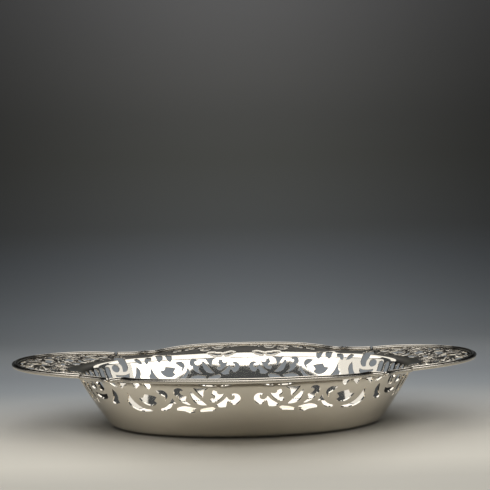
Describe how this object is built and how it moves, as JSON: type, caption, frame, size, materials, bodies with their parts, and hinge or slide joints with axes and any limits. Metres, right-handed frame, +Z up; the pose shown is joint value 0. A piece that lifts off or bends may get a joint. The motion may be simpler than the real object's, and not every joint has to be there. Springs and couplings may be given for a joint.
{
  "type": "pierced silver bread basket",
  "caption": "Oval silver basket with a flat base, flaring scroll-pierced walls, a broad shaped border edged with reeded wire and a flat pierced handle at each end.",
  "frame": {"origin": "middle of the flat base, where it meets the table", "axes": "+X along the basket from handle to handle, +Y across it, +Z up"},
  "size_m": [0.323, 0.194, 0.048],
  "materials": {
    "silver": "polished silver with a little tarnish in the chased lines"
  },
  "bodies": {
    "root": {"pierced_body": "silver", "side_wire_front": "silver", "side_wire_back": "silver", "end_wire_right": "silver", "end_wire_left": "silver", "shoulder_wire_back_right": "silver", "shoulder_wire_back_left": "silver", "shoulder_wire_front_right": "silver", "shoulder_wire_front_left": "silver"}
  },
  "joints": []
}
